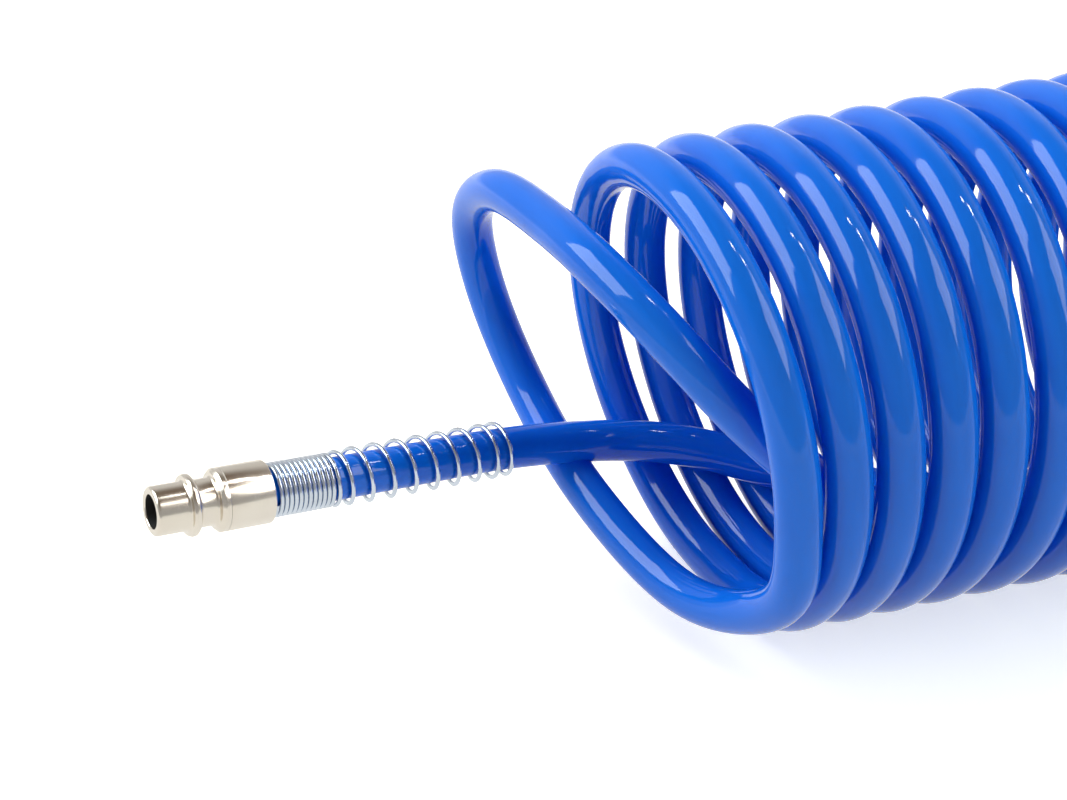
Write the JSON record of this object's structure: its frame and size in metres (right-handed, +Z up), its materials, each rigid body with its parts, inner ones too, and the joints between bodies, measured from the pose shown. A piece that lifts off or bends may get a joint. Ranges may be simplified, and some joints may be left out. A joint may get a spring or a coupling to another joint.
{
  "type": "coiled air hose",
  "caption": "Spring-like coil of glossy air hose with a push-in plug on one end, a quick coupler on the other, and a wire bend guard behind each fitting.",
  "frame": {"origin": "on the surface that the hose lies on, under the middle of its box", "axes": "+X along the coil's axis from the plug towards the coupler, +Z up"},
  "size_m": [0.4212, 0.1276, 0.1074],
  "materials": {
    "hose_blue": "glossy, smooth, coloured right through",
    "nickel_plate": "turned brass with bright, slightly warm nickel plate",
    "spring_steel": "bright drawn wire",
    "bearing_steel": "polished",
    "valve_brass": "fine turned",
    "seal_rubber": "matt black"
  },
  "bodies": {
    "plug_end": {"plug_body": "nickel_plate", "plug_ferrule": "nickel_plate", "plug_guard_spring": "spring_steel", "hose_tail_plug": "hose_blue", "hose_coil": "hose_blue"},
    "coupler_end": {"hose_tail_coupler": "hose_blue", "coupler_guard_spring": "spring_steel", "coupler_ferrule": "nickel_plate", "coupler_adapter": "nickel_plate", "adapter_seal": "seal_rubber", "coupler_body": "nickel_plate", "sleeve_spring": "spring_steel", "sleeve_retaining_ring": "spring_steel", "plug_seal": "seal_rubber", "valve_spring": "spring_steel"},
    "sleeve": {"coupler_sleeve": "nickel_plate"},
    "valve": {"valve_poppet": "valve_brass", "poppet_seal": "seal_rubber"},
    "ball_1": {"locking_ball_1": "bearing_steel"},
    "ball_2": {"locking_ball_2": "bearing_steel"},
    "ball_3": {"locking_ball_3": "bearing_steel"},
    "ball_4": {"locking_ball_4": "bearing_steel"},
    "ball_5": {"locking_ball_5": "bearing_steel"},
    "ball_6": {"locking_ball_6": "bearing_steel"}
  },
  "joints": [
    {"name": "coil_stretch", "type": "slide", "parent": "plug_end", "child": "coupler_end", "axis": [1, 0, 0], "range_m": [0, 1.2], "stiffness_N_per_m": 12, "deforming": ["hose_coil"]},
    {"name": "sleeve_slide", "type": "slide", "parent": "coupler_end", "child": "sleeve", "axis": [-1, 0, 0], "range_m": [0, 0.004], "stiffness_N_per_m": 1500, "deforming": ["sleeve_spring"]},
    {"name": "valve_slide", "type": "slide", "parent": "coupler_end", "child": "valve", "axis": [-1, 0, 0], "range_m": [0, 0.0026], "stiffness_N_per_m": 800, "deforming": ["valve_spring"]},
    {"name": "ball_1_slide", "type": "slide", "parent": "coupler_end", "child": "ball_1", "axis": [0, -1, 0], "range_m": [0, 0.001]},
    {"name": "ball_2_slide", "type": "slide", "parent": "coupler_end", "child": "ball_2", "axis": [0, -0.5, 0.866], "range_m": [0, 0.001]},
    {"name": "ball_3_slide", "type": "slide", "parent": "coupler_end", "child": "ball_3", "axis": [0, 0.5, 0.866], "range_m": [0, 0.001]},
    {"name": "ball_4_slide", "type": "slide", "parent": "coupler_end", "child": "ball_4", "axis": [0, 1, 0], "range_m": [0, 0.001]},
    {"name": "ball_5_slide", "type": "slide", "parent": "coupler_end", "child": "ball_5", "axis": [0, 0.5, -0.866], "range_m": [0, 0.001]},
    {"name": "ball_6_slide", "type": "slide", "parent": "coupler_end", "child": "ball_6", "axis": [0, -0.5, -0.866], "range_m": [0, 0.001]}
  ],
  "couplings": [
    {"joint": "ball_1_slide", "follows": "sleeve_slide", "ratio": 0.25},
    {"joint": "ball_2_slide", "follows": "sleeve_slide", "ratio": 0.25},
    {"joint": "ball_3_slide", "follows": "sleeve_slide", "ratio": 0.25},
    {"joint": "ball_4_slide", "follows": "sleeve_slide", "ratio": 0.25},
    {"joint": "ball_5_slide", "follows": "sleeve_slide", "ratio": 0.25},
    {"joint": "ball_6_slide", "follows": "sleeve_slide", "ratio": 0.25}
  ]
}
